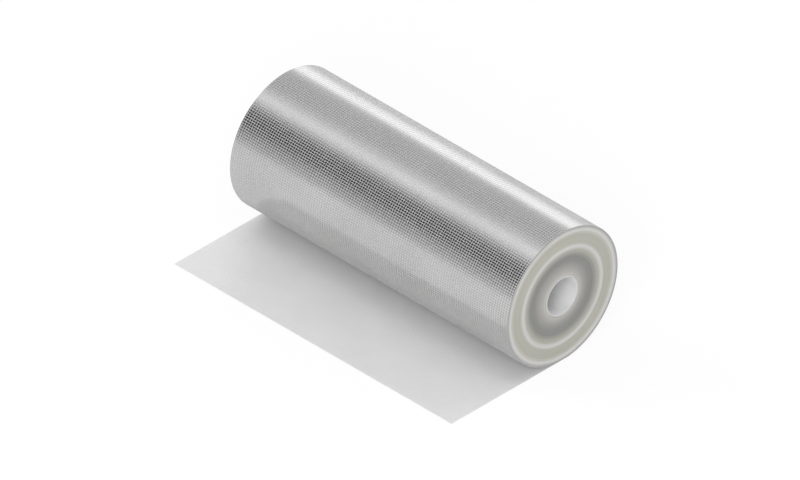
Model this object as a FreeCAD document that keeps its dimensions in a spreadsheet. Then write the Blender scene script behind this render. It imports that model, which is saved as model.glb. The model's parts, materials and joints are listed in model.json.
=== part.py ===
import FreeCAD, Part
import math
import os
import Sketcher

# Aluminium foil roll lying on the floor with its first length drawn out.
# The roll's axis runs along X. The drawn-out sheet lies flat towards -Y. Z points up.
# The origin is on the floor, under the middle of the axis.
SIZES = {
    "web_width": 300.0,  # width of the foil, and so of the roll and the drawn sheet
    "roll_diameter": 120.0,
    "bore_diameter": 32.0,
    "core_wall": 1.5,
    "core_clearance": 0.05,  # between the core tube and the first turn, on the radius
    "sheet_height": 0.3,  # one embossed sheet, over its raised lines
    "drawn_length": 120.0,  # from the line of contact to the cut edge
    "flat_width": 12.0,  # the spot that the soft roll presses flat under itself
    "turn_groups": 12,  # rings of turns that show on the end faces
    "end_wander": 2.0,  # how far the turns wander sideways, at most
    "wander_waves": 1.7,  # waves of that wander between the core and the outer turn
}

BORE_RADIUS = "sizes.bore_diameter / 2"
CORE_OUTER = f"{BORE_RADIUS} + sizes.core_wall"
WINDING_INNER = f"{CORE_OUTER} + sizes.core_clearance"
WINDING_BUILD = f"(sizes.roll_diameter / 2 - ({WINDING_INNER}))"
AXIS_HEIGHT = "sqrt((sizes.roll_diameter / 2)^2 - (sizes.flat_width / 2)^2)"


def make_sheet(doc):
    sheet = doc.addObject("Spreadsheet::Sheet", "sizes")
    for row, (alias, value) in enumerate(SIZES.items(), start=1):
        sheet.set(f"A{row}", alias)
        sheet.set(f"B{row}", str(value))
        sheet.setAlias(f"B{row}", alias)
    doc.recompute()
    return sheet


def make_body(doc, name):
    """A body whose own origin is on the roll's axis, lifted to the axis height."""
    body = doc.addObject("PartDesign::Body", name)
    body.Label = name
    body.setExpression("Placement.Base.z", AXIS_HEIGHT)
    return body


def make_sketch(body, name, role):
    sketch = body.newObject("Sketcher::SketchObject", name)
    plane = next(f for f in body.Origin.OriginFeatures if f.Role == role)
    sketch.AttachmentSupport = [(plane, "")]
    sketch.MapMode = "FlatFace"
    return sketch


def bind(sketch, kind, geometry, point, name, expression):
    """Holds one coordinate of a point, measured from the sketch's origin."""
    here = sketch.getPoint(geometry, point)
    value = here.x if kind == "DistanceX" else here.y
    sketch.addConstraint(Sketcher.Constraint(kind, -1, 1, geometry, point, value))
    index = sketch.ConstraintCount - 1
    sketch.renameConstraint(index, name)
    sketch.setExpression(f"Constraints.{name}", expression)


def add_outline(sketch, corners):
    """A closed outline of straight lines, each corner bound to a pair of expressions."""
    places = [FreeCAD.Vector(sketch.evalExpression(x), sketch.evalExpression(y), 0) for x, y in corners]
    for start, end in zip(places, places[1:] + places[:1]):
        sketch.addGeometry(Part.LineSegment(start, end))
    for line in range(len(corners)):
        following = (line + 1) % len(corners)
        sketch.addConstraint(Sketcher.Constraint("Coincident", line, 2, following, 1))
    for line, (x, y) in enumerate(corners):
        bind(sketch, "DistanceX", line, 1, f"across_{line}", x)
        bind(sketch, "DistanceY", line, 1, f"up_{line}", y)


def add_circle(sketch, name, radius):
    """A circle about the sketch's origin."""
    centre = FreeCAD.Vector(0, 0, 0)
    circle = sketch.addGeometry(Part.Circle(centre, FreeCAD.Vector(0, 0, 1), sketch.evalExpression(radius)))
    sketch.addConstraint(Sketcher.Constraint("Coincident", circle, 3, -1, 1))
    sketch.addConstraint(Sketcher.Constraint("Radius", circle, sketch.evalExpression(radius)))
    index = sketch.ConstraintCount - 1
    sketch.renameConstraint(index, name)
    sketch.setExpression(f"Constraints.{name}", radius)


def wander_share(depth, waves):
    """Sideways place of the turns at a share of the wound thickness, 0 at the core, 1 outside."""
    return -(1 - depth) * (1 - math.cos(2 * math.pi * waves * depth)) / 2


def winding_corners(sheet):
    """Half-section of the winding: the foil is as wide in each turn, so both ends step alike."""
    groups = int(sheet.turn_groups)
    near_end, far_end = [], []
    for group in range(groups):
        share = wander_share(group / max(groups - 1, 1), sheet.wander_waves)
        shift = f"{share:.5f} * sizes.end_wander"
        for edge in (group, group + 1):
            radius = f"{WINDING_INNER} + {WINDING_BUILD} * {edge} / {groups}"
            near_end.append((f"sizes.web_width / 2 + {shift}", radius))
            far_end.append((f"-sizes.web_width / 2 + {shift}", radius))
    return near_end + far_end[::-1]


def make_foil_roll(doc, sheet):
    """The wound turns and the drawn-out sheet, one continuous web of foil."""
    body = make_body(doc, "foil_roll")

    section = make_sketch(body, "turns_section", "XZ_Plane")
    add_outline(section, winding_corners(sheet))
    turns = body.newObject("PartDesign::Revolution", "turns")
    turns.Profile = section
    turns.ReferenceAxis = (section, ["H_Axis"])
    turns.Angle = 360
    doc.recompute()
    round_volume = body.Shape.Volume

    underside = make_sketch(body, "underside_section", "YZ_Plane")
    side = "sizes.roll_diameter / 2"
    rest = f"-{AXIS_HEIGHT}"
    add_outline(
        underside,
        [(f"-{side}", f"-{side}"), (side, f"-{side}"), (side, rest), (f"-{side}", rest)],
    )
    flat = body.newObject("PartDesign::Pocket", "pressed_flat")
    flat.Profile = underside
    flat.Type = "ThroughAll"
    flat.SideType = "Symmetric"
    doc.recompute()
    if body.Shape.Volume >= round_volume:
        raise RuntimeError("the flat spot cuts nothing")

    drawn = make_sketch(body, "drawn_section", "YZ_Plane")
    edge = "-sizes.drawn_length"
    top = f"sizes.sheet_height - {AXIS_HEIGHT}"
    add_outline(drawn, [(edge, rest), ("0", rest), ("0", top), (edge, top)])
    drawn_sheet = body.newObject("PartDesign::Pad", "drawn_sheet")
    drawn_sheet.Profile = drawn
    drawn_sheet.SideType = "Symmetric"
    drawn_sheet.setExpression("Length", "sizes.web_width")
    return body


def make_core_tube(doc):
    """The thin tube that the foil is wound on, as long as the foil is wide."""
    body = make_body(doc, "core_tube")
    ring = make_sketch(body, "ring", "YZ_Plane")
    add_circle(ring, "bore_radius", BORE_RADIUS)
    add_circle(ring, "outer_radius", CORE_OUTER)
    tube = body.newObject("PartDesign::Pad", "tube")
    tube.Profile = ring
    tube.SideType = "Symmetric"
    tube.setExpression("Length", "sizes.web_width")
    return body


def check_document(doc, parts):
    for item in doc.Objects:
        if "Invalid" in item.State or "Error" in item.State:
            raise RuntimeError(f"{item.Name} failed: {item.State}")
    for item in parts:
        if item.Shape.isNull() or not item.Shape.isValid():
            raise RuntimeError(f"{item.Label} has no valid shape")
        if len(item.Shape.Solids) != 1:
            raise RuntimeError(f"{item.Label} is not one solid")


def main():
    doc = FreeCAD.newDocument("foil_roll_model")
    sheet = make_sheet(doc)
    parts = [make_foil_roll(doc, sheet), make_core_tube(doc)]
    doc.recompute()
    check_document(doc, parts)
    os.makedirs("parts", exist_ok=True)
    for item in parts:
        item.Shape.exportStep(f"parts/{item.Label}.step")
        print(item.Label, round(item.Shape.Volume, 1), item.Shape.BoundBox)


main()
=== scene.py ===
import json
import math

import bmesh
import bpy
import numpy as np
from mathutils import Matrix, Vector


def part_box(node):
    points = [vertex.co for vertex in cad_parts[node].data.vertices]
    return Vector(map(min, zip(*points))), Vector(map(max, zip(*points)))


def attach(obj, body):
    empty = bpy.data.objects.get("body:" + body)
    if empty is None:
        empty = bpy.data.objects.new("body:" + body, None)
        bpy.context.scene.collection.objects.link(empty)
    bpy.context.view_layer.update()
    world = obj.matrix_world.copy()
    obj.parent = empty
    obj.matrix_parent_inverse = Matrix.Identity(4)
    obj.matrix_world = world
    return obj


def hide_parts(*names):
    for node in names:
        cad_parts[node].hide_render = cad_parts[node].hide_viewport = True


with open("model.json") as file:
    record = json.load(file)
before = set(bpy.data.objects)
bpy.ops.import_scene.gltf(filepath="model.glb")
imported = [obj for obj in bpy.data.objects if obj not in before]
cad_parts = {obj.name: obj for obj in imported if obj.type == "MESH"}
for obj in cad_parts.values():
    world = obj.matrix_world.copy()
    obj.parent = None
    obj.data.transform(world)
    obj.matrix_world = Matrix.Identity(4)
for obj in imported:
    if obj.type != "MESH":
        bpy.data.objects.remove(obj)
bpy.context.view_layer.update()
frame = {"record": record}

MM = 0.001

# The roll as the frame gives it: axis along X, sheet drawn out towards -Y, floor at zero.
roll_low, roll_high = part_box("foil_roll")
core_low, core_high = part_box("core_tube")
HALF_WIDTH = roll_high.x
ROLL_RADIUS = roll_high.y
AXIS_HEIGHT = roll_high.z - ROLL_RADIUS
SHEET_EDGE = roll_low.y
CORE_OUTER = (core_high.z - core_low.z) / 2
BORE = next(m for m in frame["record"]["mounts"] if m["name"] == "core_bore")
BORE_RADIUS = BORE["dims"]["r_mm"] * MM

# The embossing: a grid of raised lines, its cells a little longer along the roll than round it.
CELLS_ALONG = 120
CELLS_ROUND = 180
SHEET_HEIGHT = 0.3 * MM
LINE_HEIGHT = 0.15 * MM
LINE_DEPTH = 1.2 * LINE_HEIGHT  # with the part of a line that is sunk into the foil under it
LINE_HALF_WIDTH = 0.25 * MM
DRAWN_PITCH = 2.36 * MM
OUTER_TURN_WALL = 0.5 * MM
SMOOTH_ROUND = 360

# The end faces: the turns wander sideways between the core and the outer turn, as in the solid.
CORE_CLEARANCE = 0.05 * MM
END_WANDER = 2.0 * MM
WANDER_WAVES = 1.7
TURN_RINGS = 150
RING_SEGMENTS = 240
RING_RELIEF = 0.12 * MM  # how far an edge is set in from its neighbours, at most
RELIEF_SHARES = (0.2, 1.0)
RING_SEED = 7

# The core tube's mouths: a small rounding, drawn with one point between its two ends.
MOUTH_ROUND = 0.25 * MM
MOUTH_MIDDLE = 0.3 * MOUTH_ROUND
END_FACING = 0.5  # a face whose normal has more than this along the roll is a cut end

# The pieces' maps for baking: a zone each for the plain foil and for both sets of raised lines.
BAKE_MAP = "OFBake"
PLAIN_WINDOW = (0.005, 0.005, 0.595, 0.995)
FIRST_LINES = (0.62, 0.80)
OTHER_LINES = (0.82, 0.995)
WHOLE_WINDOW = (0.005, 0.005, 0.995, 0.995)
STRIP_MARGIN = 0.05
RIDGE_CUTS = (0, 0.48, 0.96, 1)
WALL_CUTS = (0, 0.9, 0.92, 0.98, 1)
SLAB_CUTS = (0, 0.2, 0.21, 0.99, 1)
FIRST_MOUTH_CUTS = np.linspace(0, 0.1, 6)
SECOND_MOUTH_START = 0.7
BAR_START, BAR_END = 0.03, 0.97  # a bar's sides lie between these, and its caps outside them
CAP_RADIUS = 0.4

# The finishes. A piece's first material is its plain one, and the second is its raised lines'.
PLAIN, RAISED = 0, 1
NOISE_LOW, NOISE_HIGH = 0.3, 0.7  # nearly all of a noise's values lie between these
FOIL_GRAIN = (2600.0, 60.0, 60.0)
FOIL_CLOUD = (22.0, 30.0, 30.0)
CORE_GRAIN = (30.0, 1500.0, 1500.0)
CORE_CLOUD = (40.0, 60.0, 60.0)
CUT_END_GRAIN = (1500.0, 900.0, 900.0)
CLOUD_DETAIL = 2.0

# The floor and the camera.
FLOOR_HALF_SIZE = 6.0
FLOOR_DROP = 0.02 * MM
VIEW_WIDTH = 0.6124
AIM_LEFT = 18.22 * MM
AIM_UP = 30.62 * MM
CAMERA_DISTANCE = 2.0


def ring(radius, x, count, lowest=0.0):
    """Points round the roll's axis, from the top towards the drawn sheet, none under the lowest height."""
    turn = np.arange(count) * (2 * math.pi / count)
    height = AXIS_HEIGHT + radius * np.cos(turn)
    return np.stack([np.full(count, x), -radius * np.sin(turn), np.maximum(height, lowest)], 1)


def lofted(rings, cuts=None):
    """A closed shell: quads from each ring of points to the next, and from the last to the first.

    Its map for baking runs round the rings from 0 to 1, and from each cut to the next across them.
    """
    count = len(rings[0])
    if cuts is None:
        cuts = np.linspace(0, 1, len(rings) + 1)
    here = np.arange(count)
    after = (here + 1) % count
    left = here / count
    right = (here + 1) / count
    faces, spots = [], []
    for index in range(len(rings)):
        start = index * count
        end = (index + 1) % len(rings) * count
        faces += np.stack([start + here, start + after, end + after, end + here], 1).tolist()
        low = np.full(count, cuts[index])
        high = np.full(count, cuts[index + 1])
        corners = [left, low, right, low, right, high, left, high]
        spots.append(np.stack(corners, 1).reshape(-1, 2))
    return np.concatenate(rings), faces, np.concatenate(spots)


def bar(profile, step, cuts):
    """A closed bar: a profile of points, repeated a step further on, with both ends capped.

    Its map for baking runs along the bar, and from each cut to the next round the profile.
    The two caps lie outside that, before the start and after the end.
    """
    profile = np.asarray(profile, float)
    count = len(profile)
    faces, spots = [], []
    for index in range(count):
        after = (index + 1) % count
        low, high = cuts[index], cuts[index + 1]
        faces.append((index, after, count + after, count + index))
        spots += [(BAR_START, low), (BAR_START, high), (BAR_END, high), (BAR_END, low)]
    caps = [list(range(count)), list(range(2 * count - 1, count - 1, -1))]
    turn = np.arange(count) * (2 * math.pi / count)
    for cap, middle in zip(caps, (BAR_START / 2, (1 + BAR_END) / 2)):
        faces.append(tuple(cap))
        along = middle + BAR_START * CAP_RADIUS * np.cos(turn)
        across = 0.5 + CAP_RADIUS * np.sin(turn)
        spots += np.stack([along, across], 1).tolist()
    return np.concatenate([profile, profile + np.asarray(step)]), faces, np.asarray(spots, float)


def shell(made, finish, window):
    """A closed shell with the index of its material and its window in the map for baking."""
    points, faces, spots = made
    low, high = np.asarray(window[:2]), np.asarray(window[2:])
    return points, faces, low + spots * (high - low), finish


def strip(zone, index, count):
    """One of the equal strips of a zone of the map, from its lowest to its highest."""
    left, right = zone
    return left, (index + STRIP_MARGIN) / count, right, (index + 1 - STRIP_MARGIN) / count


def make_piece(name, shells, materials, sharp_angle):
    """One mesh of closed shells, each with its points, its faces, its map and its material's index."""
    points, faces, spots, finishes = [], [], [], []
    first = 0
    for verts, polys, places, finish in shells:
        points.append(verts)
        faces += [tuple(first + i for i in poly) for poly in polys]
        spots.append(places)
        finishes += [finish] * len(polys)
        first += len(verts)
    mesh = bpy.data.meshes.new(name)
    mesh.from_pydata(np.concatenate(points).tolist(), [], faces)
    for material in materials:
        mesh.materials.append(material)
    mesh.polygons.foreach_set("material_index", finishes)
    mesh.polygons.foreach_set("use_smooth", [True] * len(faces))
    baking = mesh.uv_layers.new(name=BAKE_MAP)
    baking.uv.foreach_set("vector", np.concatenate(spots).ravel())
    shape = bmesh.new()
    shape.from_mesh(mesh)
    bmesh.ops.recalc_face_normals(shape, faces=shape.faces)
    shape.to_mesh(mesh)
    shape.free()
    mesh.set_sharp_from_angle(angle=math.radians(sharp_angle))
    piece = bpy.data.objects.new(name, mesh)
    bpy.context.collection.objects.link(piece)
    return piece


def add_node(tree, kind, **settings):
    node = tree.nodes.new(kind)
    for key, value in settings.items():
        setattr(node, key, value)
    return node


def calculate(tree, operation, *values):
    """The result of a math node. Each value is a number or another node's output."""
    node = add_node(tree, "ShaderNodeMath", operation=operation)
    for socket, value in zip(node.inputs, values):
        if isinstance(value, bpy.types.NodeSocket):
            tree.links.new(value, socket)
        else:
            socket.default_value = value
    return node.outputs[0]


def new_material(name, metallic, roughness):
    material = bpy.data.materials.new(name)
    material.use_nodes = True
    shader = material.node_tree.nodes["Principled BSDF"]
    shader.inputs["Metallic"].default_value = metallic
    shader.inputs["Roughness"].default_value = roughness
    return material, material.node_tree, shader


def stretched_noise(tree, scale, detail=3.0):
    """Noise in the object's own frame, finer along the axes with the larger scale."""
    place = add_node(tree, "ShaderNodeTexCoord")
    mapping = add_node(tree, "ShaderNodeMapping")
    mapping.inputs["Scale"].default_value = scale
    noise = add_node(tree, "ShaderNodeTexNoise")
    noise.inputs["Scale"].default_value = 1.0
    noise.inputs["Detail"].default_value = detail
    tree.links.new(place.outputs["Object"], mapping.inputs["Vector"])
    tree.links.new(mapping.outputs["Vector"], noise.inputs["Vector"])
    return noise.outputs["Fac"]


def ranged(tree, value, low, high):
    """A noise's value, spread from low to high."""
    node = add_node(tree, "ShaderNodeMapRange")
    node.inputs["From Min"].default_value = NOISE_LOW
    node.inputs["From Max"].default_value = NOISE_HIGH
    node.inputs["To Min"].default_value = low
    node.inputs["To Max"].default_value = high
    tree.links.new(value, node.inputs["Value"])
    return node.outputs["Result"]


def ramp(tree, value, stops):
    """A colour ramp, its stops as pairs of a place and a grey or a colour."""
    node = add_node(tree, "ShaderNodeValToRGB")
    elements = node.color_ramp.elements
    while len(elements) < len(stops):
        elements.new(0.5)
    for element, (place, tone) in zip(elements, stops):
        element.position = place
        element.color = (*tone, 1.0) if isinstance(tone, tuple) else (tone, tone, tone, 1.0)
    tree.links.new(value, node.inputs["Fac"])
    return node.outputs["Color"]


def clouded(tree, value, dark, light):
    """A grey that follows a noise's value, from dark to light."""
    return ramp(tree, value, [(NOISE_LOW, dark), (NOISE_HIGH, light)])


def add_bump(tree, shader, height, strength, distance):
    bump = add_node(tree, "ShaderNodeBump")
    bump.inputs["Strength"].default_value = strength
    bump.inputs["Distance"].default_value = distance
    tree.links.new(height, bump.inputs["Height"])
    tree.links.new(bump.outputs["Normal"], shader.inputs["Normal"])


def foil_material(name, metallic, tones, roughness):
    """Rolled foil: faint lines of the rolling along the web, and slow changes of tone."""
    material, tree, shader = new_material(name, metallic, roughness[0])
    grain = stretched_noise(tree, FOIL_GRAIN)
    cloud = stretched_noise(tree, FOIL_CLOUD, CLOUD_DETAIL)
    tree.links.new(clouded(tree, cloud, *tones), shader.inputs["Base Color"])
    tree.links.new(ranged(tree, grain, *roughness), shader.inputs["Roughness"])
    add_bump(tree, shader, grain, strength=0.03, distance=0.02 * MM)
    return material


def share_of_radius(tree):
    """The distance from the roll's axis, as a share of the roll's radius."""
    place = add_node(tree, "ShaderNodeTexCoord")
    split = add_node(tree, "ShaderNodeSeparateXYZ")
    tree.links.new(place.outputs["Object"], split.inputs["Vector"])
    height = calculate(tree, "SUBTRACT", split.outputs["Z"], AXIS_HEIGHT)
    squares = [calculate(tree, "MULTIPLY", side, side) for side in (split.outputs["Y"], height)]
    distance = calculate(tree, "SQRT", calculate(tree, "ADD", *squares))
    return calculate(tree, "DIVIDE", distance, ROLL_RADIUS)


def turn_edge_painted_sheen_material():
    """The edges of the turns: rings of painted sheen and shade from the core to the outer turn, under fine
    rings of the turns' own tone.
    """
    material, tree, shader = new_material("turn_edges_painted_sheen", metallic=0.35, roughness=0.5)
    share = share_of_radius(tree)
    # Painted sheen and shade by radius, standing in for how light falls on the turns' edges: lighter next
    # to the core, darker down the slope into the trough where the turns are set in (painted shade), a light
    # proud ring and a light rim (painted highlights), and darker at the outer edge.
    core_side = (0.42, 0.41, 0.38)
    painted_shade_slope = (0.29, 0.285, 0.27)
    painted_shade_trough = (0.21, 0.21, 0.20)
    painted_highlight_ring = (0.52, 0.52, 0.515)
    band = (0.37, 0.365, 0.32)
    painted_highlight_rim = (0.525, 0.52, 0.51)
    outer_edge = (0.30, 0.30, 0.29)
    stops = [
        (0.29, core_side), (0.40, painted_shade_slope), (0.50, painted_shade_trough), (0.56, painted_shade_trough), (0.66, band),
        (0.70, painted_highlight_ring), (0.76, band), (0.88, band), (0.94, painted_highlight_rim), (0.985, outer_edge),
    ]
    tone = ramp(tree, share, stops)
    rings = add_node(tree, "ShaderNodeTexNoise", noise_dimensions="1D")
    rings.inputs["Scale"].default_value = 48.0
    rings.inputs["Detail"].default_value = 6.0
    rings.inputs["Roughness"].default_value = 0.7
    tree.links.new(share, rings.inputs["W"])
    mix = add_node(tree, "ShaderNodeMix", data_type="RGBA", blend_type="MULTIPLY")
    mix.inputs["Factor"].default_value = 0.35
    tree.links.new(tone, mix.inputs["A"])
    shade = ramp(tree, rings.outputs["Fac"], [(0.37, 0.6), (0.63, 1.0)])
    tree.links.new(shade, mix.inputs["B"])
    tree.links.new(mix.outputs["Result"], shader.inputs["Base Color"])
    tree.links.new(ranged(tree, rings.outputs["Fac"], 0.42, 0.58), shader.inputs["Roughness"])
    add_bump(tree, shader, rings.outputs["Fac"], strength=0.5, distance=0.1 * MM)
    return material


def core_material():
    """A drawn aluminium tube, with fine lines along it."""
    material, tree, shader = new_material("core_aluminium", metallic=0.35, roughness=0.3)
    grain = stretched_noise(tree, CORE_GRAIN)
    cloud = stretched_noise(tree, CORE_CLOUD, CLOUD_DETAIL)
    tree.links.new(clouded(tree, cloud, 0.63, 0.67), shader.inputs["Base Color"])
    tree.links.new(ranged(tree, grain, 0.27, 0.33), shader.inputs["Roughness"])
    add_bump(tree, shader, grain, strength=0.03, distance=0.02 * MM)
    return material


def core_end_material():
    """The cut ends of the tube, duller than its wall."""
    material, tree, shader = new_material("core_cut_end", metallic=0.35, roughness=0.5)
    grain = stretched_noise(tree, CUT_END_GRAIN)
    tree.links.new(clouded(tree, grain, 0.42, 0.48), shader.inputs["Base Color"])
    tree.links.new(ranged(tree, grain, 0.42, 0.55), shader.inputs["Roughness"])
    return material


def ridge_round(x):
    """One raised line round the outer turn."""
    floor = ROLL_RADIUS - LINE_DEPTH
    rings = [
        ring(floor, x - LINE_HALF_WIDTH, CELLS_ROUND, LINE_DEPTH),
        ring(ROLL_RADIUS, x, CELLS_ROUND),
        ring(floor, x + LINE_HALF_WIDTH, CELLS_ROUND, LINE_DEPTH),
    ]
    return lofted(rings, RIDGE_CUTS)


def ridge_along(turn):
    """One raised line along the outer turn, at an angle from the top."""
    floor = ROLL_RADIUS - LINE_DEPTH
    spread = LINE_HALF_WIDTH / ROLL_RADIUS
    base = (floor, LINE_DEPTH)
    corners = [(turn - spread, *base), (turn, ROLL_RADIUS, 0.0), (turn + spread, *base)]
    profile = []
    for angle, radius, lowest in corners:
        height = max(AXIS_HEIGHT + radius * math.cos(angle), lowest)
        profile.append((-HALF_WIDTH, -radius * math.sin(angle), height))
    return bar(profile, (2 * HALF_WIDTH, 0, 0), RIDGE_CUTS)


def make_outer_turn(foil, lines):
    """The last turn of foil: a plain wall with the grid of raised lines on it."""
    outer = ROLL_RADIUS - LINE_HEIGHT
    inner = ROLL_RADIUS - OUTER_TURN_WALL
    wall = [
        ring(outer, -HALF_WIDTH, SMOOTH_ROUND, LINE_HEIGHT),
        ring(outer, HALF_WIDTH, SMOOTH_ROUND, LINE_HEIGHT),
        ring(inner, HALF_WIDTH, SMOOTH_ROUND),
        ring(inner, -HALF_WIDTH, SMOOTH_ROUND),
    ]
    shells = [shell(lofted(wall, WALL_CUTS), PLAIN, PLAIN_WINDOW)]
    pitch = 2 * HALF_WIDTH / CELLS_ALONG
    for cell in range(CELLS_ALONG):
        ridge = ridge_round(-HALF_WIDTH + (cell + 0.5) * pitch)
        shells.append(shell(ridge, RAISED, strip(FIRST_LINES, cell, CELLS_ALONG)))
    for cell in range(CELLS_ROUND):
        ridge = ridge_along(2 * math.pi * cell / CELLS_ROUND)
        shells.append(shell(ridge, RAISED, strip(OTHER_LINES, cell, CELLS_ROUND)))
    piece = make_piece("outer_turn", shells, [foil, lines], sharp_angle=80)
    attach(piece, "root")
    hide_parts("foil_roll")


def make_drawn_sheet(foil, lines):
    """The sheet that is drawn out: it leaves the roll at the bottom and lies on the floor."""
    top = SHEET_HEIGHT
    floor = SHEET_HEIGHT - LINE_HEIGHT
    sunk = SHEET_HEIGHT - LINE_DEPTH
    roll_side = -math.sqrt(ROLL_RADIUS**2 - (AXIS_HEIGHT - floor) ** 2)
    depth = roll_side - SHEET_EDGE
    slab = [
        (-HALF_WIDTH, SHEET_EDGE, 0), (-HALF_WIDTH, roll_side, 0),
        (-HALF_WIDTH, roll_side, floor), (-HALF_WIDTH, SHEET_EDGE, floor),
    ]
    across = (2 * HALF_WIDTH, 0, 0)
    shells = [shell(bar(slab, across, SLAB_CUTS), PLAIN, PLAIN_WINDOW)]
    pitch = 2 * HALF_WIDTH / CELLS_ALONG
    half = LINE_HALF_WIDTH
    for cell in range(CELLS_ALONG):
        x = -HALF_WIDTH + (cell + 0.5) * pitch
        profile = [(x - half, SHEET_EDGE, sunk), (x, SHEET_EDGE, top), (x + half, SHEET_EDGE, sunk)]
        ridge = bar(profile, (0, depth, 0), RIDGE_CUTS)
        shells.append(shell(ridge, RAISED, strip(FIRST_LINES, cell, CELLS_ALONG)))
    rows = int(depth / DRAWN_PITCH)
    for row in range(rows):
        y = SHEET_EDGE + (row + 0.5) * DRAWN_PITCH
        profile = [(-HALF_WIDTH, y - half, sunk), (-HALF_WIDTH, y, top), (-HALF_WIDTH, y + half, sunk)]
        ridge = bar(profile, across, RIDGE_CUTS)
        shells.append(shell(ridge, RAISED, strip(OTHER_LINES, row, rows)))
    piece = make_piece("drawn_sheet", shells, [foil, lines], sharp_angle=80)
    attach(piece, "root")
    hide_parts("foil_roll")


def wander(depth):
    """Sideways place of the turns at a share of the wound thickness, 0 at the core, 1 outside."""
    return -END_WANDER * (1 - depth) * (1 - math.cos(2 * math.pi * WANDER_WAVES * depth)) / 2


def make_wound_turns(edges):
    """The turns under the outer one. Their edges make fine rings on both end faces."""
    inner = CORE_OUTER + CORE_CLEARANCE
    outer = ROLL_RADIUS - OUTER_TURN_WALL
    rng = np.random.default_rng(RING_SEED)
    near_end, far_end = [], []
    for index in range(TURN_RINGS + 1):
        depth = index / TURN_RINGS
        radius = inner + (outer - inner) * depth
        place = wander(depth)
        set_in = rng.uniform(*RELIEF_SHARES, 2) * RING_RELIEF * (index % 2)
        near_end.append(ring(radius, HALF_WIDTH + place - set_in[0], RING_SEGMENTS))
        far_end.append(ring(radius, -HALF_WIDTH + place + set_in[1], RING_SEGMENTS))
    turns = shell(lofted(near_end + far_end[::-1]), PLAIN, WHOLE_WINDOW)
    piece = make_piece("wound_turns", [turns], [edges], sharp_angle=20)
    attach(piece, "root")
    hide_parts("foil_roll")


def make_core_sleeve(metal, cut_end):
    """The tube that the foil is wound on, with its two mouths slightly rounded."""
    rings = []
    for end in (-1, 1):
        x = end * HALF_WIDTH
        corners = [
            (CORE_OUTER, x - end * MOUTH_ROUND), (CORE_OUTER - MOUTH_MIDDLE, x - end * MOUTH_MIDDLE),
            (CORE_OUTER - MOUTH_ROUND, x), (BORE_RADIUS + MOUTH_ROUND, x),
            (BORE_RADIUS + MOUTH_MIDDLE, x - end * MOUTH_MIDDLE), (BORE_RADIUS, x - end * MOUTH_ROUND),
        ]
        rings += [ring(radius, place, SMOOTH_ROUND) for radius, place in corners[::-end]]
    cuts = (*FIRST_MOUTH_CUTS, *(FIRST_MOUTH_CUTS + SECOND_MOUTH_START), 1)
    tube = shell(lofted(rings, cuts), PLAIN, WHOLE_WINDOW)
    piece = make_piece("core_sleeve", [tube], [metal, cut_end], sharp_angle=50)
    for face in piece.data.polygons:
        face.material_index = int(abs(face.normal.x) > END_FACING)
    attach(piece, "root")
    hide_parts("core_tube")


def mixed_with_white(tree, surface, white, shares):
    """Mixes a plain white into what each kind of ray sees, by its share."""
    rays = add_node(tree, "ShaderNodeLightPath")
    total = 0.0
    for kind, share in shares.items():
        part = calculate(tree, "MULTIPLY", rays.outputs[kind], share)
        total = calculate(tree, "MAXIMUM", total, part)
    mix = add_node(tree, "ShaderNodeMixShader")
    tree.links.new(total, mix.inputs["Fac"])
    tree.links.new(surface, mix.inputs[1])
    tree.links.new(white, mix.inputs[2])
    return mix.outputs["Shader"]


def make_floor():
    """A pale floor just under the part. Most of what the camera sees of it is plain white."""
    size = FLOOR_HALF_SIZE
    mesh = bpy.data.meshes.new("floor")
    corners = [(x, y, -FLOOR_DROP) for x, y in ((-size, -size), (size, -size), (size, size), (-size, size))]
    mesh.from_pydata(corners, [], [(0, 1, 2, 3)])
    floor = bpy.data.objects.new("floor", mesh)
    bpy.context.collection.objects.link(floor)
    material = bpy.data.materials.new("floor_paint")
    material.use_nodes = True
    tree = material.node_tree
    shader = tree.nodes["Principled BSDF"]
    shader.inputs["Base Color"].default_value = (0.8, 0.8, 0.8, 1)
    shader.inputs["Roughness"].default_value = 0.9
    white = add_node(tree, "ShaderNodeEmission")
    shares = {"Is Camera Ray": 0.85, "Is Glossy Ray": 0.56, "Is Transmission Ray": 0.85}
    seen = mixed_with_white(tree, shader.outputs["BSDF"], white.outputs["Emission"], shares)
    tree.links.new(seen, tree.nodes["Material Output"].inputs["Surface"])
    mesh.materials.append(material)


# The studio: long soft boxes parallel to the roll, by their angle from overhead towards the sheet's side.
STUDIO_BANDS = [
    (-180, 0.32), (-105, 0.27), (-95, 0.50), (-76, 0.90), (-66, 0.98), (-57, 0.37), (-44, 0.28),
    (-14, 0.27), (0, 0.42), (9, 0.63), (16, 0.57), (26, 0.24), (36, 0.04), (58, 0.03), (72, 0.18),
    (82, 0.24), (90, 0.42), (180, 0.34),
]
STUDIO_STRENGTH = 2.4
LAMP_SIZE = 3.5
# Each lamp's place and power.
LAMPS = {
    "key": (Vector((2.90, -3.65, 2.45)), 260.0),
    "fill": (Vector((-4.20, -2.36, 2.10)), 120.0),
}


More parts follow.
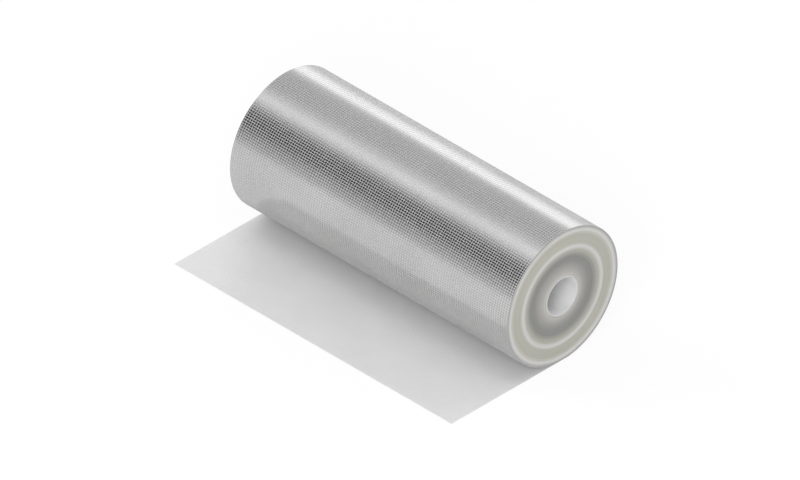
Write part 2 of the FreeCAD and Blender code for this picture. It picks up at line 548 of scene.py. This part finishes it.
def make_world():
    """The studio round the part. What the camera sees of it directly is plain white."""
    world = bpy.data.worlds.new("studio")
    bpy.context.scene.world = world
    world.use_nodes = True
    tree = world.node_tree
    back = tree.nodes["Background"]
    place = add_node(tree, "ShaderNodeTexCoord")
    split = add_node(tree, "ShaderNodeSeparateXYZ")
    tree.links.new(place.outputs["Generated"], split.inputs["Vector"])
    towards_sheet = calculate(tree, "MULTIPLY", split.outputs["Y"], -1.0)
    angle = calculate(tree, "ARCTAN2", towards_sheet, split.outputs["Z"])
    share = calculate(tree, "MULTIPLY_ADD", angle, 1 / (2 * math.pi), 0.5)
    stops = [((degrees + 180) / 360, tone) for degrees, tone in STUDIO_BANDS]
    tree.links.new(ramp(tree, share, stops), back.inputs["Color"])
    back.inputs["Strength"].default_value = STUDIO_STRENGTH
    white = add_node(tree, "ShaderNodeBackground")
    shares = {"Is Camera Ray": 1.0}
    seen = mixed_with_white(tree, back.outputs["Background"], white.outputs["Background"], shares)
    tree.links.new(seen, tree.nodes["World Output"].inputs["Surface"])


def make_lamps():
    """Two large soft boxes in front of the sheet, one on each end's side, aimed at the roll."""
    for name, (place, power) in LAMPS.items():
        data = bpy.data.lights.new(name, "AREA")
        data.shape = "DISK"
        data.size = LAMP_SIZE
        data.energy = power
        lamp = bpy.data.objects.new(name, data)
        lamp.location = place
        lamp.rotation_euler = place.to_track_quat("Z", "Y").to_euler()
        lamp.visible_glossy = False
        bpy.context.collection.objects.link(lamp)


def make_camera():
    """An isometric view: 45 degrees round and 35.26 degrees up, with no perspective."""
    right = Vector((1, 1, 0)).normalized()
    up = Vector((-1, 1, 2)).normalized()
    back = right.cross(up)
    aim = up * AIM_UP - right * AIM_LEFT
    data = bpy.data.cameras.new("isometric")
    data.type = "ORTHO"
    data.ortho_scale = VIEW_WIDTH
    data.clip_start = 0.01
    data.clip_end = 20.0
    camera = bpy.data.objects.new("isometric", data)
    turned = Matrix((right, up, back)).transposed().to_4x4()
    camera.matrix_world = Matrix.Translation(aim + back * CAMERA_DISTANCE) @ turned
    bpy.context.collection.objects.link(camera)
    bpy.context.scene.camera = camera


# Each foil's share of metal, its darkest and lightest tone, and its least and most roughness.
bright_foil = foil_material("bright_foil", 1.0, (0.455, 0.488), (0.18, 0.22))
bright_lines = foil_material("bright_foil_lines", 0.25, (0.42, 0.45), (0.40, 0.46))
matt_foil = foil_material("matt_foil", 0.3, (0.67, 0.70), (0.50, 0.58))
matt_lines = foil_material("matt_foil_lines", 0.3, (0.71, 0.74), (0.50, 0.58))

make_outer_turn(bright_foil, bright_lines)
make_drawn_sheet(matt_foil, matt_lines)
make_wound_turns(turn_edge_painted_sheen_material())
make_core_sleeve(core_material(), core_end_material())
make_floor()
make_world()
make_lamps()
make_camera()
bpy.context.scene.view_settings.view_transform = "Standard"
